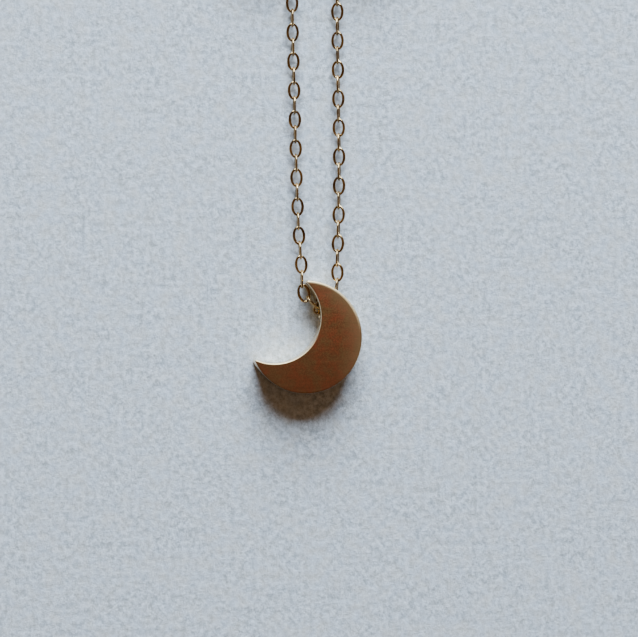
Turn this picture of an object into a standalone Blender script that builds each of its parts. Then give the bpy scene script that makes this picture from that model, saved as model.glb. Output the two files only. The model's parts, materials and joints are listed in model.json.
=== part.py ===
"""A pendant necklace: a crescent slider pendant on a fine oval cable chain with a spring ring clasp.

Run with: blender --background --python part.py

The necklace lies on a table, face up. +Z is up, +Y runs along the two strands away from the
pendant, and +X is to the pendant's right. The origin is on the pendant's flat back, in the
middle of its widest part. Lengths below are in millimetres and MM turns them into metres.
"""

import math

import bpy
import bmesh
from mathutils import Matrix, Vector

MM = 0.001

# Crescent: the part of one circle that a second circle doesn't cover
OUTER_RADIUS = 5.63
INNER_RADIUS = 4.64
INNER_CENTRE = Vector((-3.13, 2.04))
TIP_ROUND = 0.16
THICKNESS = 3.1
EDGE_ROUND = 0.10
HOLE_RADIUS = 0.95
HOLE_CUT_LENGTH = 8.0

# Cable chain
WIRE = 0.23
LINK_LENGTH = 1.93
LINK_WIDTH = 1.25
PITCH = 1.455
HOOKED = (LINK_LENGTH - WIRE - PITCH) / 2
LINK_POINTS = 16

# The two slack links inside the pendant. The end wires of the strands' first links stand upright
# just inside the hole's two mouths, INSIDE_REST from the middle of the link that holds each one.
INSIDE_START = Vector((1.343, 2.776, THICKNESS / 2))
INSIDE_HEADING = math.radians(38.0)
INSIDE_REST = 0.44
INSIDE_PITCH = 1.38
INSIDE_ROLLS = (-20.0, 34.0)

# Strands, as points that each one passes through, and how far its links lean over
LEFT_FIRST_HEADING = math.radians(133.0)
LEFT_ROUTE = (
    (0.13, 3.66, 1.46),
    (-0.24, 5.07, 1.38),
    (-0.24, 6.50, 1.28),
    (-0.50, 10.2, 0.98),
    (-0.62, 13.1, 0.79),
    (-0.80, 18.9, 0.65),
    (-0.95, 24.8, 0.64),
    (-1.10, 30.6, 0.64),
    (-1.20, 36.4, 0.64),
)
RIGHT_ROUTE = (
    (3.34, 5.85, 1.48),
    (3.31, 7.30, 1.36),
    (3.44, 10.2, 1.08),
    (3.54, 13.8, 0.82),
    (3.58, 18.2, 0.65),
    (3.50, 24.0, 0.64),
    (3.42, 30.0, 0.64),
    (3.38, 36.4, 0.64),
)
LEFT_LINKS = 23
RIGHT_LINKS = 22
RIGHT_LEAN = 14.0

# The rest of each strand, folded into a flat hank: a long ring with straight sides
HANK_OUTER = 5.0
HANK_INNER = 2.85
HANK_STRAIGHT = 8.4
HANK_HEIGHT = 2.2
HANK_START = 36.2
HANK_MIDDLE = 1.113
HANK_GAP = 0.3

# Spring ring clasp, in the open middle of the left hank, with its eye towards the pendant
CLASP_HEADING = math.radians(-90.0)
CLASP_RADIUS = 1.95
TUBE_RADIUS = 0.55
BORE_RADIUS = 0.36
BOLT_RADIUS = 0.28
GATE = (95.0, 150.0)
BOLT_ARC = (66.0, 158.0)
SLOT_ARC = (14.0, 84.0)
SLOT_HEIGHT = 0.46
SLOT_RADIUS = 0.24
LUG_ANGLE = 78.0
LUG_RADIUS = 0.14
CLASP_SHIFT = -0.75
EYE_RADIUS = 0.55
EYE_WIRE = 0.16
EYE_GAP = 0.02
JUMP_RADIUS = 0.80
JUMP_WIRE = 0.15
JUMP_CENTRE = 3.99
END_RING_RADIUS = 1.10
END_RING_WIRE = 0.19
END_RING_CENTRE = 2.95

# Colour, metallic value and roughness of each material
FINISHES = {
    "satin_rose_gold": ((0.56, 0.30, 0.17), 1.0, 0.42),
    "chain_gold": ((0.83, 0.60, 0.30), 1.0, 0.20),
    "clasp_gold": ((0.85, 0.63, 0.33), 1.0, 0.18),
    "spring_steel": ((0.60, 0.58, 0.55), 1.0, 0.30),
}


# ---------- scene helpers ----------

def clear_scene():
    for item in list(bpy.data.objects):
        bpy.data.objects.remove(item, do_unlink=True)


def make_collection(name):
    group = bpy.data.collections.new(name)
    bpy.context.scene.collection.children.link(group)
    return group


def make_material(name):
    colour, metallic, roughness = FINISHES[name]
    material = bpy.data.materials.new(name)
    material.use_nodes = True
    shader = material.node_tree.nodes["Principled BSDF"]
    shader.inputs["Base Color"].default_value = (*colour, 1.0)
    shader.inputs["Metallic"].default_value = metallic
    shader.inputs["Roughness"].default_value = roughness
    return material


def widest_middle():
    """The middle of the crescent's widest part, on the line through both circles' centres."""
    across = -INNER_CENTRE.normalized()
    inner_edge = INNER_RADIUS - INNER_CENTRE.length
    return across * (inner_edge + OUTER_RADIUS) / 2


def add_origin(group):
    """The empty that every piece hangs on: it moves the crescent's circle centre off the origin."""
    origin = bpy.data.objects.new("necklace_origin", None)
    middle = widest_middle()
    origin.location = (-middle.x * MM, -middle.y * MM, 0.0)
    group.objects.link(origin)
    return origin


def place(name, data, group, origin, matrix=None):
    piece = bpy.data.objects.new(name, data)
    group.objects.link(piece)
    piece.parent = origin
    piece.matrix_local = matrix if matrix is not None else Matrix.Identity(4)
    return piece


def polygon_curve(name, points, radius, cyclic, material, resolution=1):
    """A wire along points, in millimetres."""
    curve = bpy.data.curves.new(name, "CURVE")
    curve.dimensions = "3D"
    curve.twist_mode = "Z_UP" if cyclic else "MINIMUM"
    curve.bevel_depth = radius * MM
    curve.bevel_resolution = resolution
    curve.use_fill_caps = not cyclic
    spline = curve.splines.new("POLY")
    spline.points.add(len(points) - 1)
    for point, place_at in zip(spline.points, points):
        point.co = (*(Vector(place_at) * MM), 1.0)
    spline.use_cyclic_u = cyclic
    if material is not None:
        curve.materials.append(material)
    return curve


def as_mesh(curve, name, material=None):
    """A curve's wire as a closed mesh, with its caps welded on."""
    holder = bpy.data.objects.new(name + "_curve", curve)
    bpy.context.scene.collection.objects.link(holder)
    bpy.context.view_layer.update()
    shape = holder.evaluated_get(bpy.context.evaluated_depsgraph_get())
    mesh = bpy.data.meshes.new_from_object(shape)
    mesh.name = name
    bpy.data.objects.remove(holder, do_unlink=True)
    work = bmesh.new()
    work.from_mesh(mesh)
    bmesh.ops.remove_doubles(work, verts=work.verts, dist=1e-7)
    bmesh.ops.recalc_face_normals(work, faces=work.faces)
    work.to_mesh(mesh)
    work.free()
    mesh.materials.clear()
    if material is not None:
        mesh.materials.append(material)
    return mesh


def cut(piece, cutter, cutters):
    """Take a cutter's shape out of a piece, and put the cutter away."""
    for holder in list(cutter.users_collection):
        holder.objects.unlink(cutter)
    cutters.objects.link(cutter)
    cutter.hide_render = True
    cutter.display_type = "WIRE"
    take = piece.modifiers.new(cutter.name, "BOOLEAN")
    take.operation = "DIFFERENCE"
    take.solver = "EXACT"
    take.object = cutter


def ring_matrix(centre, normal, along):
    """A frame at centre whose Z is normal and whose X is along."""
    normal = normal.normalized()
    along = along.normalized()
    side = normal.cross(along)
    turn = Matrix((along, side, normal)).transposed().to_4x4()
    return Matrix.Translation(centre * MM) @ turn


# ---------- routes ----------

def smooth(points, steps=16):
    """A smooth curve through points, as many short straight steps."""
    pins = [Vector(p) for p in points]
    pins = [2 * pins[0] - pins[1], *pins, 2 * pins[-1] - pins[-2]]
    curve = []
    for a, b, c, d in zip(pins, pins[1:], pins[2:], pins[3:]):
        for step in range(steps):
            t = step / steps
            curve.append(
                0.5 * (2 * b + (c - a) * t + (2 * a - 5 * b + 4 * c - d) * t ** 2
                       + (3 * b - a - 3 * c + d) * t ** 3)
            )
    curve.append(pins[-2])
    return curve


def walk(curve, count):
    """Pivots one chain pitch apart along a curve, from its first point."""
    pivots = [curve[0]]
    for before, after in zip(curve, curve[1:]):
        while (after - pivots[-1]).length >= PITCH and len(pivots) <= count:
            low, high = 0.0, 1.0
            for _ in range(40):
                middle = (low + high) / 2
                if (before.lerp(after, middle) - pivots[-1]).length < PITCH:
                    low = middle
                else:
                    high = middle
            pivots.append(before.lerp(after, high))
    return pivots


def inside_direction():
    return Vector((math.cos(INSIDE_HEADING), math.sin(INSIDE_HEADING), 0.0))


def inside_end():
    """Where the right strand's first link hooks on."""
    return INSIDE_START + inside_direction() * (2 * INSIDE_REST + INSIDE_PITCH)


def inside_spans():
    """The start and end pivots of the two links inside the pendant."""
    ahead = inside_direction()
    spans = []
    for number in range(2):
        middle = INSIDE_START + ahead * (INSIDE_REST + number * INSIDE_PITCH)
        spans.append((middle - ahead * PITCH / 2, middle + ahead * PITCH / 2))
    return spans


def left_spans():
    """The left strand's pivots, two for each link, from the pendant outwards."""
    ahead = Vector((math.cos(LEFT_FIRST_HEADING), math.sin(LEFT_FIRST_HEADING), -0.03)).normalized()
    start = INSIDE_START + ahead * HOOKED
    strand = walk(smooth(LEFT_ROUTE), LEFT_LINKS - 1)
    return [(start, start + ahead * PITCH), *zip(strand, strand[1:])]


def right_spans():
    """The right strand's pivots, two for each link, from the pendant outwards."""
    ahead = (Vector(RIGHT_ROUTE[0]) - inside_end()).normalized()
    strand = walk(smooth((inside_end() + ahead * HOOKED, *RIGHT_ROUTE)), RIGHT_LINKS)
    return list(zip(strand, strand[1:]))


def link_frames(spans, rolls):
    """Each link's place: X along the chain, Y across the oval, Z square to its plane."""
    frames = []
    for (start, end), roll in zip(spans, rolls):
        along = (end - start).normalized()
        level = along.cross(Vector((0, 0, 1))).normalized()
        upright = level.cross(along)
        across = level * math.cos(math.radians(roll)) + upright * math.sin(math.radians(roll))
        frames.append(ring_matrix((start + end) / 2, along.cross(across), along))
    return frames


def strand_rolls(count, lean):
    """Links stand on edge and lie flat by turns, beginning on edge."""
    return [lean if number % 2 else 90.0 + lean for number in range(count)]


# ---------- sub-parts ----------

def crescent_outline():
    """The crescent's edge: an outer arc, an inner arc and two round tips."""
    away = INNER_CENTRE.length
    base = math.atan2(INNER_CENTRE.y, INNER_CENTRE.x)
    outer = OUTER_RADIUS - TIP_ROUND
    inner = INNER_RADIUS + TIP_ROUND
    open_outer = math.acos((away ** 2 + outer ** 2 - inner ** 2) / (2 * away * outer))
    open_inner = math.acos((away ** 2 + inner ** 2 - outer ** 2) / (2 * away * inner))
    start, stop = base + open_outer, base - open_outer + 2 * math.pi
    edge = arc(Vector((0, 0)), OUTER_RADIUS, start, stop, 44)
    tip = Vector((math.cos(stop), math.sin(stop))) * outer
    inner_start, inner_stop = base + math.pi + open_inner, base + math.pi - open_inner
    edge += arc(tip, TIP_ROUND, stop, inner_start + math.pi, 5)[1:-1]
    edge += arc(INNER_CENTRE, INNER_RADIUS, inner_start, inner_stop, 34)
    tip = Vector((math.cos(start), math.sin(start))) * outer
    edge += arc(tip, TIP_ROUND, inner_stop - math.pi, start, 5)[1:-1]
    return edge


def arc(centre, radius, start, stop, count):
    turns = [start + (stop - start) * step / count for step in range(count + 1)]
    return [centre + Vector((math.cos(t), math.sin(t))) * radius for t in turns]


def make_pendant(group, cutters, origin, material):
    outline = bpy.data.curves.new("crescent_outline", "CURVE")
    outline.dimensions = "2D"
    outline.fill_mode = "BOTH"
    outline.extrude = THICKNESS / 2 * MM
    points = crescent_outline()
    spline = outline.splines.new("POLY")
    spline.points.add(len(points) - 1)
    for point, at in zip(spline.points, points):
        point.co = (at.x * MM, at.y * MM, 0.0, 1.0)
    spline.use_cyclic_u = True
    mesh = as_mesh(outline, "crescent_pendant", material)
    bpy.data.curves.remove(outline)
    pendant = place("crescent_pendant", mesh, group, origin,
                    Matrix.Translation((0.0, 0.0, THICKNESS / 2 * MM)))
    soften = pendant.modifiers.new("rounded_edges", "BEVEL")
    soften.width = EDGE_ROUND * MM
    soften.segments = 2
    soften.limit_method = "ANGLE"
    soften.angle_limit = math.radians(60)
    bpy.ops.mesh.primitive_cylinder_add(vertices=24, radius=HOLE_RADIUS * MM,
                                        depth=HOLE_CUT_LENGTH * MM)
    cutter = bpy.context.object
    cutter.name = "chain_hole_cutter"
    cutter.parent = origin
    middle = (INSIDE_START + inside_end()) / 2
    cutter.matrix_local = ring_matrix(middle, inside_direction(), Vector((0, 0, 1)))
    cut(pendant, cutter, cutters)


def link_data(material):
    """One oval link. Its long axis is X."""
    long_radius = (LINK_LENGTH - WIRE) / 2
    short_radius = (LINK_WIDTH - WIRE) / 2
    points = []
    for number in range(LINK_POINTS):
        turn = 2 * math.pi * number / LINK_POINTS
        points.append((long_radius * math.cos(turn), short_radius * math.sin(turn), 0.0))
    return polygon_curve("chain_link", points, WIRE / 2, True, material)


def make_strand(name, spans, rolls, data, group, origin):
    for number, frame in enumerate(link_frames(spans, rolls)):
        place(f"{name}_{number:02d}", data, group, origin, frame)


def hank_outline(radius):
    """A ring with straight sides: two half circles joined by lines along Y."""
    half = Vector((0.0, HANK_STRAIGHT / 2))
    return arc(half, radius, 0.0, math.pi, 18) + arc(-half, radius, math.pi, 2 * math.pi, 18)


def make_hank(side, centre, group, origin, material):
    """The outer shape of the folded length of one strand."""
    name = f"{side}_chain_hank"
    shape = bpy.data.curves.new(name, "CURVE")
    shape.dimensions = "2D"
    shape.fill_mode = "BOTH"
    shape.extrude = HANK_HEIGHT / 2 * MM
    for radius in (HANK_OUTER, HANK_INNER):
        points = hank_outline(radius)
        edge = shape.splines.new("POLY")
        edge.points.add(len(points) - 1)
        for point, at in zip(edge.points, points):
            point.co = (at.x * MM, at.y * MM, 0.0, 1.0)
        edge.use_cyclic_u = True
    mesh = as_mesh(shape, name, material)
    bpy.data.curves.remove(shape)
    middle = Vector((centre.x, centre.y, HANK_HEIGHT / 2))
    place(name, mesh, group, origin, Matrix.Translation(middle * MM))


def clasp_frame(centre, heading, shift):
    """A frame lying flat in a hank's middle whose X points at the chain's end."""
    ahead = Vector((math.cos(heading), math.sin(heading), 0.0))
    at = Vector((centre.x, centre.y, TUBE_RADIUS)) + ahead * shift
    return ring_matrix(at, Vector((0, 0, 1)), ahead)


def ring_points(radius, start, stop, count, z=0.0):
    """Points along an arc, from start to stop degrees."""
    turns = [math.radians(start + (stop - start) * step / count) for step in range(count + 1)]
    return [(radius * math.cos(t), radius * math.sin(t), z) for t in turns]


def closed_ring(name, radius, wire, count, material):
    points = ring_points(radius, 0.0, 360.0, count)[:-1]
    return polygon_curve(name, points, wire, True, material)


def make_clasp(centre, group, cutters, origin, gold, steel):
    frame = clasp_frame(centre, CLASP_HEADING, CLASP_SHIFT)
    tube_points = ring_points(CLASP_RADIUS, GATE[1], 360.0 + GATE[0], 26)
    tube = polygon_curve("clasp_ring", tube_points, TUBE_RADIUS, False, None, 3)
    ring = place("clasp_ring", as_mesh(tube, "clasp_ring", gold), group, origin, frame)
    bore = polygon_curve("clasp_bore", ring_points(CLASP_RADIUS, 0, 360, 32)[:-1], BORE_RADIUS, True, None, 2)
    cut(ring, place("clasp_bore_cutter", as_mesh(bore, "clasp_bore"), cutters, origin, frame), cutters)
    slot_points = ring_points(CLASP_RADIUS, *SLOT_ARC, 8, SLOT_HEIGHT)
    slot = polygon_curve("clasp_slot", slot_points, SLOT_RADIUS, False, None, 3)
    cut(ring, place("clasp_slot_cutter", as_mesh(slot, "clasp_slot"), cutters, origin, frame), cutters)

    bolt = polygon_curve("clasp_bolt", ring_points(CLASP_RADIUS, *BOLT_ARC, 9), BOLT_RADIUS, False, None, 2)
    piece = place("clasp_bolt", as_mesh(bolt, "clasp_bolt", gold), group, origin, frame)
    bpy.ops.mesh.primitive_cylinder_add(vertices=10, radius=LUG_RADIUS * MM, depth=0.75 * MM)
    lug = bpy.context.object
    lug.name = "clasp_lug_joiner"
    lug.parent = origin
    turn = math.radians(LUG_ANGLE)
    at = Vector((CLASP_RADIUS * math.cos(turn), CLASP_RADIUS * math.sin(turn), 0.50)) * MM
    lug.matrix_local = frame @ Matrix.Translation(at)
    cut(piece, lug, cutters)
    piece.modifiers[lug.name].operation = "UNION"

    spring = polygon_curve("clasp_spring", ring_points(CLASP_RADIUS, -70, BOLT_ARC[0] - 2, 13),
                           BOLT_RADIUS, False, steel, 1)
    place("clasp_spring", spring, group, origin, frame)

    eye_at = CLASP_RADIUS + TUBE_RADIUS + EYE_GAP + EYE_RADIUS + EYE_WIRE
    eye = closed_ring("clasp_eye", EYE_RADIUS, EYE_WIRE, 16, gold)
    place("clasp_eye", eye, group, origin, frame @ Matrix.Translation((eye_at * MM, 0, 0)))

    rise = JUMP_RADIUS + JUMP_WIRE + 0.01 - TUBE_RADIUS
    upright = Matrix.Translation((JUMP_CENTRE * MM, 0, rise * MM)) @ Matrix.Rotation(math.pi / 2, 4, "X")
    jump = closed_ring("clasp_jump_ring", JUMP_RADIUS, JUMP_WIRE, 18, gold)
    place("clasp_jump_ring", jump, group, origin, frame @ upright)


def make_end_ring(centre, group, origin, gold):
    """The ring that the clasp hooks into, in the middle of the right hank."""
    frame = clasp_frame(centre, CLASP_HEADING, END_RING_CENTRE)
    drop = END_RING_WIRE + 0.01 - TUBE_RADIUS
    ring = closed_ring("end_ring", END_RING_RADIUS, END_RING_WIRE, 20, gold)
    place("end_ring", ring, group, origin, frame @ Matrix.Translation((0, 0, drop * MM)))


def build():
    clear_scene()
    group = make_collection("pendant_necklace")
    cutters = make_collection("cutters")
    origin = add_origin(group)
    finish = {name: make_material(name) for name in FINISHES}
    chain = finish["chain_gold"]
    make_pendant(group, cutters, origin, finish["satin_rose_gold"])

    data = link_data(chain)
    make_strand("inside_link", inside_spans(), INSIDE_ROLLS, data, group, origin)
    left, right = strand_rolls(LEFT_LINKS, 0.0), strand_rolls(RIGHT_LINKS, RIGHT_LEAN)
    make_strand("left_link", left_spans(), left, data, group, origin)
    make_strand("right_link", right_spans(), right, data, group, origin)

    aside = Vector((HANK_OUTER + HANK_GAP / 2, 0.0))
    middle = Vector((HANK_MIDDLE, HANK_START + HANK_OUTER + HANK_STRAIGHT / 2))
    make_hank("left", middle - aside, group, origin, chain)
    make_clasp(middle - aside, group, cutters, origin, finish["clasp_gold"], finish["spring_steel"])
    make_hank("right", middle + aside, group, origin, chain)
    make_end_ring(middle + aside, group, origin, finish["clasp_gold"])


build()
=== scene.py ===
"""A satin crescent slider on a polished oval cable chain, lying face up on a pale cloth.

The links and fittings are modelled in millimetres round their own middles, then laid on the frame.
Each strand's visible links are pieces of their own. Its unseen length is one cord, folded in a flat
tied hank just past the top of the view, and ends in a spring ring clasp or in the ring it hooks into.
"""

import json
import math

import bmesh
import bpy
import numpy as np
from mathutils import Matrix, Vector


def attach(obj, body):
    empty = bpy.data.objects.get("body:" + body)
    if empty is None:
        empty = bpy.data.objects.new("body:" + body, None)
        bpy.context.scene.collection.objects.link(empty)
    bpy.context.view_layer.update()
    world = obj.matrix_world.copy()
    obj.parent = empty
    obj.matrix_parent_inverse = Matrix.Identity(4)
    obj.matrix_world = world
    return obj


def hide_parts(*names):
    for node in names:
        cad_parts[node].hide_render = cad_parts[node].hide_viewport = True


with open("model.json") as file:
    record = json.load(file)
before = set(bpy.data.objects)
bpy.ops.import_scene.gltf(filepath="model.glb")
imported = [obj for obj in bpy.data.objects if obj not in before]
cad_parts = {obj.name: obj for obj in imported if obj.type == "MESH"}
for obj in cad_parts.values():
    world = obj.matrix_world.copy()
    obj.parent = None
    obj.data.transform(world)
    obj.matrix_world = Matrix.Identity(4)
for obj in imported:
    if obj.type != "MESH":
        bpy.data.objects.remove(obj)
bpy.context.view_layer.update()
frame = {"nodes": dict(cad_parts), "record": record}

MM = 0.001

# Crescent, round the middle of its outer circle
OUTER_RADIUS = 5.63
INNER_RADIUS = 4.64
INNER_CENTRE = Vector((-3.13, 2.04))
TIP_ROUND = 0.16
THICKNESS = 3.1
EDGE_ROUND = 0.14
HOLE_RADIUS = 0.95
HOLE_START = Vector((1.343, 2.776, THICKNESS / 2))
HOLE_HEADING = math.radians(38.0)
HOLE_LIP = 0.05
HOLE_CUT_LENGTH = 8.0
HOLE_CUT_AHEAD = 1.2
OUTER_STEPS = 150
INNER_STEPS = 110
TIP_STEPS = 10

# Cable chain
WIRE = 0.23
LINK_LENGTH = 1.93
LINK_WIDTH = 1.25
SIDE_SPREAD = 0.28
PITCH = 1.455
LEFT_LINKS = 23
RIGHT_LINKS = 22
INSIDE_LINKS = 2
RIGHT_LEAN = 14.0
HANK_ROLL = 45.0
SETTLING_LINKS = 4

# Hanks: a bundle of four runs, two beside each other on two more, round a long flat ring
HANK_STRAIGHT = 8.4
HANK_RADIUS = 3.95
HANK_HEIGHT = 1.15
RUN_GAP = 1.1
HANK_TURNS = 4
TWIST = (190.0, 300.0)
RUN_HALF = LINK_WIDTH / 2 * 0.78
LEAD_STEPS = 16
RUN_STEPS = 36
CURL_STEPS = 24
TIE_WIDTH = 0.9
TIE_ROUND = 0.45
TIE_WALL = 0.10

# Clasp
TUBE_RADIUS = 0.55
TUBE_WALL = 0.19
CLASP_RADIUS = 1.95
GATE = (95.0, 150.0)
SLOT_ARC = (14.0, 84.0)
SLOT_HALF_WIDTH = 0.20
BOLT_ARC = (66.0, 158.0)
BOLT_RADIUS = 0.28
BOLT_ROUND = 0.07
RING_SOFT = 0.035
LUG_ANGLE = 78.0
LUG_RADIUS = 0.14
LUG_TOP = 0.86
LUG_ROUND = 0.05
SPRING_ARC = (-70.0, 64.0)
SPRING_TURNS = 19
SPRING_RADIUS = 0.235
SPRING_WIRE = 0.045
EYE_RADIUS = 0.55
EYE_WIRE = 0.16
EYE_GAP = 0.02
JUMP_RADIUS = 0.80
JUMP_WIRE = 0.15
END_RING_RADIUS = 1.10
END_RING_WIRE = 0.19
SEAM = math.radians(2.0)
SEAM_SQUEEZE = 0.9
HOOK_PLAY = 0.02

# Camera and light. The light's places are in metres.
VIEW_WIDTH = 63.8
VIEW_MIDDLE = Vector((-1.24, 3.63, 1.2))
VIEW_TILT = math.radians(6.0)
LENS = 150.0
SENSOR = 36.0
WINDOW_PLACE = (0.02, 0.53, 0.32)
WINDOW_SIZE = (0.42, 0.40)
WINDOW_POWER = 16.0
WINDOW_COLOUR = (0.73, 0.88, 1.0)
ROOM_COLOUR = (1.0, 0.62, 0.34)
ROOM_STRENGTH = 0.19
FLOOR_SIZE = 1.6
FLOOR_DROP = 0.00003


# ---------- shader nodes ----------

class Value:
    """One socket of a material. Arithmetic on it adds the Math nodes."""

    def __init__(self, graph, socket):
        self.graph = graph
        self.socket = socket

    def math(self, operation, first, second=0.0):
        return self.graph.node("ShaderNodeMath", {"operation": operation}, {0: first, 1: second})

    def __add__(self, other):
        return self.math("ADD", self, other)

    def __radd__(self, other):
        return self.math("ADD", other, self)

    def __sub__(self, other):
        return self.math("SUBTRACT", self, other)

    def __rsub__(self, other):
        return self.math("SUBTRACT", other, self)

    def __mul__(self, other):
        return self.math("MULTIPLY", self, other)

    def __rmul__(self, other):
        return self.math("MULTIPLY", other, self)


class Graph:
    """The nodes of one Principled material."""

    def __init__(self, name, **constants):
        self.material = bpy.data.materials.new(name + "_finish")
        self.material.use_nodes = True
        self.tree = self.material.node_tree
        self.shader = self.tree.nodes["Principled BSDF"]
        for socket, value in constants.items():
            self.shader.inputs[socket.replace("_", " ")].default_value = value

    def node(self, kind, settings=None, sockets=None, output=0):
        """Adds a node: its settings first, then the values or links of its sockets."""
        made = self.tree.nodes.new(kind)
        for name, value in (settings or {}).items():
            setattr(made, name, value)
        for name, value in (sockets or {}).items():
            self.join(made.inputs[name], value)
        return Value(self, made.outputs[output])

    def join(self, socket, value):
        if isinstance(value, Value):
            self.tree.links.new(value.socket, socket)
        else:
            socket.default_value = value

    def feed(self, **sockets):
        for name, value in sockets.items():
            self.join(self.shader.inputs[name.replace("_", " ")], value)

    def millimetres(self, stretch=(1.0, 1.0, 1.0)):
        """Object coordinates, a unit to the millimetre, squeezed by stretch."""
        place = self.node("ShaderNodeTexCoord", output="Object")
        scale = [s / MM for s in stretch]
        return self.node("ShaderNodeMapping", {}, {"Vector": place, "Scale": scale})

    def noise(self, where, scale, detail=4.0, roughness=0.55):
        return self.node("ShaderNodeTexNoise", {}, {
            "Vector": where, "Scale": scale, "Detail": detail, "Roughness": roughness})

    def band(self, value, low, high):
        """0 up to low and 1 from high."""
        return self.node("ShaderNodeMapRange", {"clamp": True}, {
            "Value": value, "From Min": low, "From Max": high})

    def blend(self, mask, first, second):
        return self.node("ShaderNodeMix", {"data_type": "RGBA"}, {0: mask, 6: first, 7: second}, 2)

    def distance(self, where, middle):
        """Millimetres from an upright line through a point of the floor."""
        level = self.node("ShaderNodeVectorMath", {"operation": "MULTIPLY"}, {
            0: where, 1: (1.0, 1.0, 0.0)})
        return self.node("ShaderNodeVectorMath", {"operation": "DISTANCE"}, {
            0: level, 1: middle.to_3d()}, "Value")

    def bump(self, height, strength, distance):
        return self.node("ShaderNodeBump", {}, {
            "Height": height, "Strength": strength, "Distance": distance * MM})


def rgb(red, green, blue):
    return (red, green, blue, 1.0)


def satin_rose_gold():
    """Brushed faces with red and olive blotches, and polished walls.

    The pale right side is painted sheen, the bright edges are painted highlights, and the dark lower wall
    and the darker lower part of the face are painted shade: they are placed by position on the crescent
    and keep their places when it turns.
    """
    g = Graph("satin_rose_gold", Metallic=1.0)
    place = g.millimetres()
    height = g.node("ShaderNodeSeparateXYZ", {}, {0: place}, "Z")
    top = g.band(height, THICKNESS - 0.06, THICKNESS - 0.02)
    underside = 1.0 - g.band(height, 0.02, 0.06)
    face = top + underside
    streaks = g.noise(g.millimetres((0.35, 16.0, 16.0)), 1.0, 5.0, 0.65)
    blotches = g.noise(place, 0.75, 4.0, 0.6)
    grain = g.noise(place, 7.0, 5.0, 0.75)
    scratches = g.band(g.noise(g.millimetres((0.9, 34.0, 5.0)), 1.0, 2.0), 0.70, 0.80)
    warm = g.blend(g.band(blotches, 0.40, 0.60), rgb(0.49, 0.140, 0.066), rgb(0.34, 0.205, 0.085))
    worn = g.blend(g.band(grain, 0.38, 0.66), warm, rgb(0.21, 0.088, 0.040))
    up = g.node("ShaderNodeSeparateXYZ", {}, {0: place}, "Y")
    # Painted shade: the face darkens towards its lower side, away from the light.
    mottle_and_painted_shade = g.blend(0.55 * (1.0 - g.band(up, -3.0, 4.0)), worn, rgb(0.16, 0.067, 0.030))
    from_middle = g.distance(place, -widest_middle())
    from_hollow = g.distance(place, INNER_CENTRE - widest_middle())
    across = g.node("ShaderNodeSeparateXYZ", {}, {0: place}, "X")
    # Painted sheen: the face is paler towards its outer edge on the right and upper side.
    painted_sheen_side = g.band(from_middle, 3.4, 5.6) * g.band(across + 0.35 * up, -0.5, 3.0)
    face_with_painted_light = g.blend(0.75 * painted_sheen_side, mottle_and_painted_shade, rgb(0.47, 0.30, 0.155))
    # Painted highlights: bright lines along the upper outer edge and the lower inner edge, broken up by the
    # grain.
    painted_highlight = g.band(from_middle, 5.33, 5.47) * g.band(up, 2.2, 4.6)
    painted_highlight = painted_highlight + (1.0 - g.band(from_hollow, 4.72, 4.82)) * (1.0 - g.band(up, 0.6, 2.2))
    painted_highlight = painted_highlight * g.band(grain, 0.22, 0.50)
    face_with_painted_light = g.blend(painted_highlight, face_with_painted_light, rgb(0.82, 0.64, 0.38))
    # The walls are pale polished gold; their lower side is painted shade, dark brown.
    wall_with_painted_shade = g.blend(g.band(up, -1.7, -0.8), rgb(0.13, 0.085, 0.04), rgb(0.86, 0.68, 0.42))
    g.feed(Base_Color=g.blend(face, wall_with_painted_shade, face_with_painted_light))
    satin = 0.28 + 0.14 * streaks + 0.05 * grain - 0.08 * scratches + 0.20 * painted_highlight
    g.feed(Roughness=face * satin + (1.0 - face) * (0.15 + 0.12 * grain))
    relief = streaks * face + 0.35 * grain
    g.feed(Normal=g.bump(relief, 0.35, 0.012))
    return g.material


def polished_gold(name, colour, deep, roughness):
    """Drawn and tumbled wire: smooth, with clouded colour and small pits."""
    g = Graph(name, Metallic=1.0)
    place = g.millimetres()
    cloud = g.noise(place, 1.1, 3.0)
    pits = g.noise(place, 14.0, 3.0, 0.6)
    g.feed(Base_Color=g.blend(g.band(cloud, 0.3, 0.7), rgb(*deep), rgb(*colour)))
    g.feed(Roughness=roughness + 0.10 * cloud + 0.08 * g.band(pits, 0.55, 0.75))
    g.feed(Normal=g.bump(pits, 0.25, 0.006))
    return g.material


def spring_steel():
    g = Graph("spring_steel", Metallic=1.0)
    place = g.millimetres()
    drawn = g.noise(place, 12.0, 4.0)
    g.feed(Base_Color=g.blend(drawn, rgb(0.45, 0.43, 0.40), rgb(0.64, 0.62, 0.59)))
    g.feed(Roughness=0.24 + 0.14 * drawn)
    g.feed(Normal=g.bump(drawn, 0.2, 0.004))
    return g.material


def tie_thread():
    """Soft white cotton, its fibres along the band."""
    g = Graph("tie_thread", Roughness=0.85)
    fibres = g.noise(g.millimetres((1.0, 12.0, 1.0)), 2.0, 4.0, 0.6)
    g.feed(Base_Color=g.blend(fibres, rgb(0.52, 0.50, 0.46), rgb(0.80, 0.78, 0.73)))
    g.feed(Normal=g.bump(fibres, 0.5, 0.02))
    return g.material


def pale_cloth():
    """A plain pale blue-grey cloth with a soft fibrous face."""
    g = Graph("pale_cloth", Roughness=0.95)
    place = g.millimetres()
    wander = g.noise(place, 0.30, 4.0, 0.6)
    bend = g.noise(place, 0.7, 2.0)
    fibres = g.noise(g.millimetres((1.25, 1.0, 1.0)), 1.5, 7.0, 0.78)
    base = g.blend(g.band(fibres, 0.41, 0.59), rgb(0.27, 0.30, 0.335), rgb(0.73, 0.79, 0.89))
    tint = g.blend(g.band(bend, 0.35, 0.65), rgb(0.62, 0.61, 0.60), rgb(0.55, 0.61, 0.71))
    g.feed(Base_Color=g.blend(0.25 + 0.35 * g.band(wander, 0.40, 0.60), base, tint))
    g.feed(Normal=g.bump(fibres, 0.6, 0.35))
    return g.material


# ---------- modelling ----------

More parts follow.
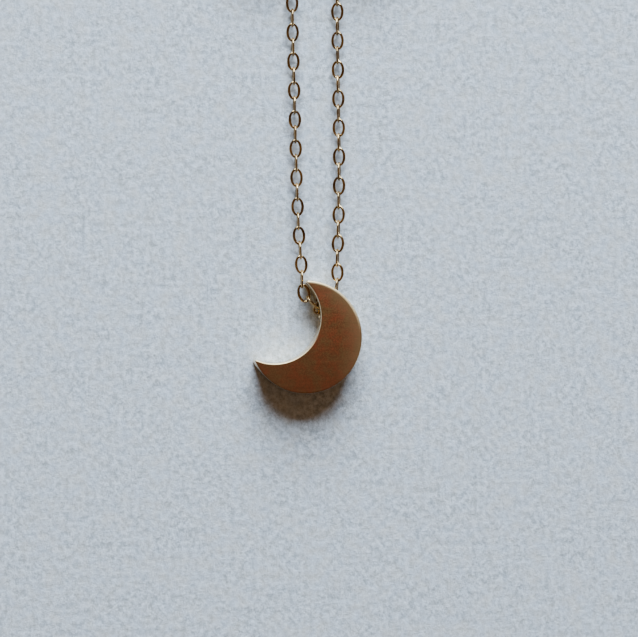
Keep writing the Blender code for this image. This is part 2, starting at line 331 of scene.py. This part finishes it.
def fresh(name):
    """Names the object that an operator has just added."""
    piece = bpy.context.object
    piece.name = name
    piece.data.name = name
    return piece


def only(piece):
    bpy.ops.object.select_all(action="DESELECT")
    piece.select_set(True)
    bpy.context.view_layer.objects.active = piece


def pick(piece, kind, test):
    """Opens a piece in edit mode with only the faces or edges that pass the test selected."""
    only(piece)
    bpy.ops.object.mode_set(mode="EDIT")
    bpy.ops.mesh.select_mode(type=kind)
    bpy.ops.mesh.select_all(action="DESELECT")
    work = bmesh.from_edit_mesh(piece.data)
    for item in work.faces if kind == "FACE" else work.edges:
        if test(item):
            item.select_set(True)
    bmesh.update_edit_mesh(piece.data)


def leave_edit():
    bpy.ops.object.mode_set(mode="OBJECT")


def apply(piece, kind, **settings):
    """Adds a modifier and applies it."""
    only(piece)
    modifier = piece.modifiers.new(kind.lower(), kind)
    for name, value in settings.items():
        setattr(modifier, name, value)
    bpy.ops.object.modifier_apply(modifier=modifier.name)


def cut(piece, cutter):
    apply(piece, "BOOLEAN", object=cutter, operation="DIFFERENCE", solver="EXACT")
    bpy.data.objects.remove(cutter, do_unlink=True)


def join(piece, other):
    apply(piece, "BOOLEAN", object=other, operation="UNION", solver="EXACT")
    bpy.data.objects.remove(other, do_unlink=True)


def soften(piece, degrees=32.0):
    only(piece)
    bpy.ops.object.shade_smooth_by_angle(angle=math.radians(degrees))


def settle(piece, place, finish, body, replaced):
    """Lays a piece modelled in millimetres at its place in the frame, and gives it its body."""
    piece.data.transform(Matrix.Scale(MM, 4) @ place @ piece.matrix_world)
    piece.matrix_world = Matrix.Identity(4)
    piece.data.materials.clear()
    piece.data.materials.append(finish)
    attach(piece, body)
    if replaced:
        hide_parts(*replaced)
    return piece


def body_of(node):
    bodies = frame["record"]["behaviour"]["bodies"]
    return next(body for body, nodes in bodies.items() if node in nodes)


def cad_points(node):
    """A CAD node's vertices in millimetres, each place once."""
    points = np.array([v.co for v in frame["nodes"][node].data.vertices]) / MM
    return np.unique(points.round(4), axis=0)


def cad_place(node):
    """A ring or link's turn and middle: X along its longest way, Z square to its plane."""
    points = cad_points(node)
    middle = (points.max(axis=0) + points.min(axis=0)) / 2
    axes = np.linalg.svd(points - points.mean(axis=0), full_matrices=False)[2]
    along, normal = Vector(axes[0]), Vector(axes[2])
    turn = Matrix((along, normal.cross(along), normal)).transposed().to_4x4()
    return Matrix.Translation(Vector(middle)) @ turn


def angle_of(point):
    """Degrees round the middle of a ring, from 0 to 360."""
    return math.degrees(math.atan2(point.y, point.x)) % 360.0


def between(angle, arc):
    return (angle - arc[0]) % 360.0 <= (arc[1] - arc[0]) % 360.0


# ---------- crescent ----------

def arc(centre, radius, start, stop, count):
    turns = [start + (stop - start) * step / count for step in range(count + 1)]
    return [centre + Vector((math.cos(t), math.sin(t))) * radius for t in turns]


def crescent_outline():
    """An outer arc, an inner arc and the two round tips between them."""
    away = INNER_CENTRE.length
    base = math.atan2(INNER_CENTRE.y, INNER_CENTRE.x)
    outer = OUTER_RADIUS - TIP_ROUND
    inner = INNER_RADIUS + TIP_ROUND
    open_outer = math.acos((away ** 2 + outer ** 2 - inner ** 2) / (2 * away * outer))
    open_inner = math.acos((away ** 2 + inner ** 2 - outer ** 2) / (2 * away * inner))
    start, stop = base + open_outer, base - open_outer + 2 * math.pi
    inner_start, inner_stop = base + math.pi + open_inner, base + math.pi - open_inner
    edge = arc(Vector((0, 0)), OUTER_RADIUS, start, stop, OUTER_STEPS)
    tip = Vector((math.cos(stop), math.sin(stop))) * outer
    edge += arc(tip, TIP_ROUND, stop, inner_start + math.pi, TIP_STEPS)[1:-1]
    edge += arc(INNER_CENTRE, INNER_RADIUS, inner_start, inner_stop, INNER_STEPS)
    tip = Vector((math.cos(start), math.sin(start))) * outer
    edge += arc(tip, TIP_ROUND, inner_stop - math.pi, start, TIP_STEPS)[1:-1]
    return edge


def widest_middle():
    across = -INNER_CENTRE.normalized()
    return across * (INNER_RADIUS - INNER_CENTRE.length + OUTER_RADIUS) / 2


def make_pendant(finish):
    outline = crescent_outline()
    bpy.ops.mesh.primitive_circle_add(vertices=len(outline), radius=1.0, fill_type="NGON")
    pendant = fresh("satin_crescent")
    for vertex, point in zip(pendant.data.vertices, outline):
        vertex.co = (*point, 0.0)
    pick(pendant, "FACE", lambda face: True)
    bpy.ops.mesh.extrude_region_move(TRANSFORM_OT_translate={"value": (0.0, 0.0, THICKNESS)})
    bpy.ops.mesh.select_all(action="SELECT")
    bpy.ops.mesh.normals_make_consistent(inside=False)
    leave_edit()
    pick(pendant, "EDGE", lambda edge: abs(edge.verts[0].co.z - edge.verts[1].co.z) < 0.01)
    bpy.ops.mesh.bevel(offset=EDGE_ROUND, segments=5, profile=0.5, affect="EDGES")
    leave_edit()
    ahead = Vector((math.cos(HOLE_HEADING), math.sin(HOLE_HEADING), 0.0))
    bpy.ops.mesh.primitive_cylinder_add(vertices=72, radius=HOLE_RADIUS, depth=HOLE_CUT_LENGTH,
                                        location=HOLE_START + ahead * HOLE_CUT_AHEAD,
                                        rotation=ahead.to_track_quat("Z", "Y").to_euler())
    cut(pendant, fresh("hole_drill"))
    apply(pendant, "BEVEL", width=HOLE_LIP, segments=3, limit_method="ANGLE",
          angle_limit=math.radians(38.0))
    soften(pendant)
    apply(pendant, "WEIGHTED_NORMAL", mode="FACE_AREA", weight=100, keep_sharp=True)
    shift = Matrix.Translation((-widest_middle()).to_3d())
    settle(pendant, shift, finish, "pendant", ["crescent_pendant"])


# ---------- chain ----------

def oval_link(name, round_steps, wire_steps):
    """One oval link: a ring whose middle line is drawn out along X, its two sides rolled a little wider."""
    long_radius = (LINK_LENGTH - WIRE) / 2
    short_radius = (LINK_WIDTH - WIRE) / 2
    bpy.ops.mesh.primitive_torus_add(major_segments=round_steps, minor_segments=wire_steps,
                                     major_radius=short_radius, minor_radius=WIRE / 2)
    link = fresh(name)
    for vertex in link.data.vertices:
        turn = math.atan2(vertex.co.y, vertex.co.x)
        out = math.hypot(vertex.co.x, vertex.co.y) - short_radius
        middle = Vector((long_radius * math.cos(turn), short_radius * math.sin(turn), 0.0))
        outward = Vector((short_radius * math.cos(turn), long_radius * math.sin(turn), 0.0)).normalized()
        wider = 1.0 + SIDE_SPREAD * math.sin(turn) ** 2
        vertex.co = middle + outward * out * wider + Vector((0.0, 0.0, vertex.co.z))
    return link


def make_links(finish):
    """The links that show, each laid on its CAD link."""
    pattern = oval_link("link_pattern", 48, 14)
    only(pattern)
    bpy.ops.object.shade_smooth()
    groups = (("inside", INSIDE_LINKS), ("left", LEFT_LINKS), ("right", RIGHT_LINKS))
    for group, count in groups:
        for number in range(count):
            node = f"{group}_link_{number:02d}"
            link = pattern.copy()
            link.data = pattern.data.copy()
            link.name = link.data.name = f"{group}_oval_{number:02d}"
            bpy.context.scene.collection.objects.link(link)
            settle(link, cad_place(node), finish, body_of(node), [node])
    bpy.data.objects.remove(pattern, do_unlink=True)


def strand_end(side):
    """Where the last link that shows holds the first one of the hank."""
    node = f"{side}_link_{(LEFT_LINKS if side == 'left' else RIGHT_LINKS) - 1:02d}"
    place = cad_place(node)
    along = place.to_3x3() @ Vector((1.0, 0.0, 0.0))
    if along.y < 0:
        along = -along
    return place.translation + along * (PITCH / 2)


def middle_of(node):
    points = cad_points(node)
    return Vector((points.max(axis=0) + points.min(axis=0)) / 2)


def ease(t):
    """From 0 to 1 with a level start and a level end."""
    t = min(max(t, 0.0), 1.0)
    return t * t * (3 - 2 * t)


def hank_point(turn, along):
    """A point of a run. It starts up the inward side; along is 0 to 4: side, end, side, end."""
    part = min(int(along), 3)
    share = along - part
    angle = (0.0, 180.0 * share, 180.0, 180.0 + 180.0 * share)[part]
    ahead = (share - 0.5, 0.5, 0.5 - share, -0.5)[part] * HANK_STRAIGHT
    twist = ease((angle - TWIST[0]) / (TWIST[1] - TWIST[0]))
    bundle = math.radians(-45.0 + 90.0 * (turn + twist))
    radius = HANK_RADIUS + RUN_GAP / math.sqrt(2) * math.cos(bundle)
    height = HANK_HEIGHT + RUN_GAP / math.sqrt(2) * math.sin(bundle)
    angle = math.radians(angle)
    return Vector((radius * math.cos(angle), radius * math.sin(angle) + ahead, height))


def cord_route(side):
    """The unseen length's line: in to the hank's side, four turns of it, and in to its fitting."""
    start = strand_end(side)
    centre = middle_of(f"{side}_chain_hank")
    centre.z = 0.0
    inward = 1.0 if side == "left" else -1.0

    def laid(point):
        return centre + Vector((inward * point.x, point.y, point.z))

    first = laid(hank_point(0, 0.0))
    lead = []
    for step in range(LEAD_STEPS):
        t = step / LEAD_STEPS
        lead.append(Vector((start.x + (first.x - start.x) * ease(t),
                            start.y + (first.y - start.y) * t,
                            start.z + (first.z - start.z) * ease(t))))
    turns = []
    for turn in range(HANK_TURNS):
        last = 3 * RUN_STEPS if turn == HANK_TURNS - 1 else 4 * RUN_STEPS
        turns += [laid(hank_point(turn, step / RUN_STEPS)) for step in range(last)]
    across = hank_point(HANK_TURNS - 1, 3.0)
    curl = arc(Vector((across.x / 2, across.y)), -across.x / 2, math.pi, 2 * math.pi, CURL_STEPS)
    ring = middle_of("clasp_jump_ring" if side == "left" else "end_ring")
    reach = JUMP_RADIUS - JUMP_WIRE if side == "left" else END_RING_RADIUS - END_RING_WIRE
    last_height = max(ring.z, LINK_WIDTH * 0.4)
    for number, point in enumerate(curl):
        height = across.z + (last_height - across.z) * ease(number / CURL_STEPS)
        turns.append(laid(Vector((point.x, point.y, height))))
    turns.append(Vector((ring.x, ring.y - reach + WIRE / 2 + HOOK_PLAY, last_height)))
    return lead + turns


def walk(route):
    """Pivots along a route, evenly spaced, as near one chain pitch apart as the length allows."""
    lengths = [0.0]
    for before, after in zip(route, route[1:]):
        lengths.append(lengths[-1] + (after - before).length)
    count = round(lengths[-1] / PITCH)
    pivots = []
    for number in range(count + 1):
        at = lengths[-1] * number / count
        place = min(max(int(np.searchsorted(lengths, at)), 1), len(route) - 1)
        share = (at - lengths[place - 1]) / (lengths[place] - lengths[place - 1])
        pivots.append(route[place - 1].lerp(route[place], share))
    return pivots, lengths[-1]


def make_tie(side, finish, body):
    """A flat cotton band drawn round the four runs of the hank's outer side."""
    half = RUN_GAP / 2 + RUN_HALF
    bpy.ops.mesh.primitive_cube_add(size=1.0, scale=(2 * half, TIE_WIDTH, 2 * half))
    tie = fresh(f"{side}_hank_tie")
    bpy.ops.object.transform_apply(location=False, rotation=False, scale=True)
    pick(tie, "EDGE", lambda edge: abs(edge.verts[0].co.y - edge.verts[1].co.y) > TIE_WIDTH / 2)
    bpy.ops.mesh.bevel(offset=TIE_ROUND, segments=6, profile=0.5, affect="EDGES")
    leave_edit()
    pick(tie, "FACE", lambda face: abs(face.normal.y) > 0.9)
    bpy.ops.mesh.delete(type="ONLY_FACE")
    leave_edit()
    apply(tie, "SOLIDIFY", thickness=TIE_WALL, offset=1.0, use_even_offset=True)
    apply(tie, "BEVEL", width=TIE_WALL / 3, segments=3, limit_method="ANGLE",
          angle_limit=math.radians(50.0))
    soften(tie)
    centre = middle_of(f"{side}_chain_hank")
    outward = -1.0 if side == "left" else 1.0
    at = Vector((centre.x + outward * HANK_RADIUS, centre.y, half + TIE_WALL + 0.01))
    return settle(tie, Matrix.Translation(at), finish, body, [])


def make_cord(side, finish, tie_finish, body):
    """The unseen links of a strand as one piece, with its tie."""
    pivots, length = walk(cord_route(side))
    pattern = oval_link(f"{side}_folded_chain", 12, 5)
    shape = bmesh.new()
    lean = RIGHT_LEAN if side == "right" else 0.0
    first = LEFT_LINKS if side == "left" else RIGHT_LINKS
    for number, (start, end) in enumerate(zip(pivots, pivots[1:])):
        along = (end - start).normalized()
        level = along.cross(Vector((0, 0, 1))).normalized()
        settled = min(number / SETTLING_LINKS, 1.0)
        roll = lean * (1 - settled) + HANK_ROLL * settled + (0.0 if (first + number) % 2 else 90.0)
        across = level * math.cos(math.radians(roll)) + level.cross(along) * math.sin(math.radians(roll))
        turn = Matrix((along, across, along.cross(across))).transposed().to_4x4()
        shape.from_mesh(pattern.data)
        new = shape.verts[-len(pattern.data.vertices):]
        bmesh.ops.transform(shape, matrix=Matrix.Translation((start + end) / 2) @ turn, verts=new)
    shape.to_mesh(pattern.data)
    shape.free()
    only(pattern)
    bpy.ops.object.shade_smooth()
    cord = settle(pattern, Matrix.Identity(4), finish, body, [f"{side}_chain_hank"])
    tie = make_tie(side, tie_finish, body)
    pivots[0] * MM
    length * MM
    [p * MM for p in pivots]


# ---------- clasp ----------

def ring(name, radius, wire, round_steps, wire_steps):
    bpy.ops.mesh.primitive_torus_add(major_segments=round_steps, minor_segments=wire_steps,
                                     major_radius=radius, minor_radius=wire)
    return fresh(name)


def keep_arc(piece, span):
    """Leaves only the stretch of a ring between two angles."""
    pick(piece, "FACE", lambda face: not between(angle_of(face.calc_center_median()), span))
    bpy.ops.mesh.delete(type="FACE")
    bpy.ops.mesh.select_all(action="DESELECT")
    leave_edit()


def close_ends(piece, rounding):
    pick(piece, "EDGE", lambda edge: edge.is_boundary)
    bpy.ops.mesh.fill_holes(sides=0)
    leave_edit()
    apply(piece, "BEVEL", width=rounding, segments=4, limit_method="ANGLE",
          angle_limit=math.radians(50.0))


def clasp_place():
    """The clasp's frame: flat, with X towards its eye."""
    ring_points, eye_points = cad_points("clasp_ring"), cad_points("clasp_eye")
    jump_points = cad_points("clasp_jump_ring")
    eye = Vector((eye_points.max(axis=0) + eye_points.min(axis=0)) / 2)
    jump = Vector((jump_points.max(axis=0) + jump_points.min(axis=0)) / 2)
    along = jump - eye
    along.z = 0.0
    along.normalize()
    height = float(ring_points[:, 2].min()) + TUBE_RADIUS
    away = CLASP_RADIUS + TUBE_RADIUS + EYE_GAP + EYE_RADIUS + EYE_WIRE
    middle = Vector((eye.x, eye.y, height)) - along * away
    turn = Matrix((along, Vector((0, 0, 1)).cross(along), Vector((0, 0, 1)))).transposed().to_4x4()
    return Matrix.Translation(middle) @ turn


def make_clasp_ring(finish):
    """A hollow tube bent round, open at the gate, with a slot on top for the lug."""
    tube = ring("clasp_tube", CLASP_RADIUS, TUBE_RADIUS, 144, 40)
    keep_arc(tube, (GATE[1], GATE[0] + 360.0))

    def over_slot(face):
        at = face.calc_center_median()
        off = math.hypot(at.x, at.y) - CLASP_RADIUS
        return at.z > 0.4 and abs(off) < SLOT_HALF_WIDTH and between(angle_of(at), SLOT_ARC)

    pick(tube, "FACE", over_slot)
    bpy.ops.mesh.delete(type="FACE")
    leave_edit()
    apply(tube, "SOLIDIFY", thickness=TUBE_WALL, offset=-1.0, use_even_offset=True)
    apply(tube, "BEVEL", width=RING_SOFT, segments=3, limit_method="ANGLE",
          angle_limit=math.radians(50.0))
    soften(tube)
    return settle(tube, clasp_place(), finish, "clasp", ["clasp_ring"])


def make_bolt(finish):
    """The curved bolt that shuts the gate, and the thumb lug that draws it back."""
    bolt = ring("clasp_slide_bolt", CLASP_RADIUS, BOLT_RADIUS, 144, 24)
    keep_arc(bolt, BOLT_ARC)
    close_ends(bolt, BOLT_ROUND)
    turn = math.radians(LUG_ANGLE)
    foot = BOLT_RADIUS / 2
    at = (CLASP_RADIUS * math.cos(turn), CLASP_RADIUS * math.sin(turn), (foot + LUG_TOP) / 2)
    bpy.ops.mesh.primitive_cylinder_add(vertices=32, radius=LUG_RADIUS, depth=LUG_TOP - foot,
                                        location=at)
    lug = fresh("thumb_lug")
    apply(lug, "BEVEL", width=LUG_ROUND, segments=4, limit_method="ANGLE",
          angle_limit=math.radians(50.0))
    join(bolt, lug)
    soften(bolt)
    return settle(bolt, clasp_place(), finish, "clasp_bolt", ["clasp_bolt"])


def make_spring(finish):
    """The coil spring behind the bolt, wound round the ring's own middle line."""
    points = []
    steps = SPRING_TURNS * 12
    for step in range(steps + 1):
        t = step / steps
        round_ring = math.radians(SPRING_ARC[0] + (SPRING_ARC[1] - SPRING_ARC[0]) * t)
        wind = 2 * math.pi * SPRING_TURNS * t
        reach = CLASP_RADIUS + SPRING_RADIUS * math.cos(wind)
        points.append((reach * math.cos(round_ring), reach * math.sin(round_ring),
                       SPRING_RADIUS * math.sin(wind)))
    curve = bpy.data.curves.new("clasp_coil_spring", "CURVE")
    curve.dimensions = "3D"
    curve.bevel_depth = SPRING_WIRE
    curve.bevel_resolution = 1
    curve.use_fill_caps = True
    line = curve.splines.new("POLY")
    line.points.add(len(points) - 1)
    for point, at in zip(line.points, points):
        point.co = (*at, 1.0)
    spring = bpy.data.objects.new("clasp_coil_spring", curve)
    bpy.context.scene.collection.objects.link(spring)
    only(spring)
    bpy.ops.object.convert(target="MESH")
    spring = bpy.context.object
    pick(spring, "FACE", lambda face: True)
    bpy.ops.mesh.remove_doubles(threshold=0.0005)
    bpy.ops.mesh.normals_make_consistent(inside=False)
    leave_edit()
    soften(spring, 50.0)
    return settle(spring, clasp_place(), finish, "clasp", ["clasp_spring"])


def make_plain_ring(name, radius, wire, finish, node):
    """A round wire ring with the fine seam where its ends meet."""
    loop = ring(name, radius, wire, 96, 20)

    def at_seam(edge):
        ends = [math.atan2(v.co.y, v.co.x) for v in edge.verts]
        return all(abs(end) < SEAM / 2 for end in ends)

    pick(loop, "EDGE", at_seam)
    bpy.ops.transform.resize(value=(1.0, 1.0, SEAM_SQUEEZE))
    leave_edit()
    only(loop)
    bpy.ops.object.shade_smooth()
    return settle(loop, cad_place(node), finish, body_of(node), [node])


# ---------- stage ----------

def make_stage():
    bpy.ops.mesh.primitive_plane_add(size=FLOOR_SIZE, location=(0.0, 0.0, -FLOOR_DROP))
    floor = fresh("cloth_floor")
    floor.data.materials.append(pale_cloth())


def aim(thing, target):
    back = (thing.location - Vector(target)).normalized()
    thing.rotation_mode = "QUATERNION"
    thing.rotation_quaternion = back.to_track_quat("Z", "Y")


def soft_light(name, place, target, size, power, colour):
    data = bpy.data.lights.new(name, "AREA")
    data.shape = "RECTANGLE"
    data.size, data.size_y = size
    data.energy = power
    data.color = colour
    lamp = bpy.data.objects.new(name, data)
    bpy.context.scene.collection.objects.link(lamp)
    lamp.location = place
    aim(lamp, target)


def make_lights():
    world = bpy.data.worlds.new("studio")
    world.use_nodes = True
    world.node_tree.nodes["Background"].inputs["Color"].default_value = rgb(*ROOM_COLOUR)
    world.node_tree.nodes["Background"].inputs["Strength"].default_value = ROOM_STRENGTH
    bpy.context.scene.world = world
    soft_light("window", WINDOW_PLACE, (0.0, 0.0, 0.0), WINDOW_SIZE, WINDOW_POWER, WINDOW_COLOUR)


def make_camera():
    data = bpy.data.cameras.new("camera")
    data.lens = LENS
    data.sensor_width = SENSOR
    data.clip_start, data.clip_end = 0.005, 20.0
    camera = bpy.data.objects.new("camera", data)
    bpy.context.scene.collection.objects.link(camera)
    back = Vector((-math.sin(VIEW_TILT), 0.0, math.cos(VIEW_TILT)))
    up = Vector((0.0, 1.0, 0.0))
    camera.location = (VIEW_MIDDLE + back * (VIEW_WIDTH * LENS / SENSOR)) * MM
    camera.rotation_mode = "QUATERNION"
    camera.rotation_quaternion = Matrix((up.cross(back), up, back)).transposed().to_quaternion()
    bpy.context.scene.camera = camera


# ---------- necklace ----------

make_camera()
make_lights()
make_stage()

rose = satin_rose_gold()
chain = polished_gold("chain_gold", (0.58, 0.40, 0.19), (0.17, 0.105, 0.045), 0.08)
fitting = polished_gold("clasp_gold", (0.72, 0.51, 0.26), (0.44, 0.29, 0.13), 0.10)
steel = spring_steel()
thread = tie_thread()

make_pendant(rose)
make_links(chain)
left_fittings = [
    make_clasp_ring(fitting),
    make_bolt(fitting),
    make_spring(steel),
    make_plain_ring("clasp_eyelet", EYE_RADIUS, EYE_WIRE, fitting, "clasp_eye"),
    make_plain_ring("clasp_jump_loop", JUMP_RADIUS, JUMP_WIRE, fitting, "clasp_jump_ring"),
]
right_fittings = [make_plain_ring("end_loop", END_RING_RADIUS, END_RING_WIRE, fitting, "end_ring")]
make_cord("left", chain, thread, "left_end")
make_cord("right", chain, thread, "right_end")
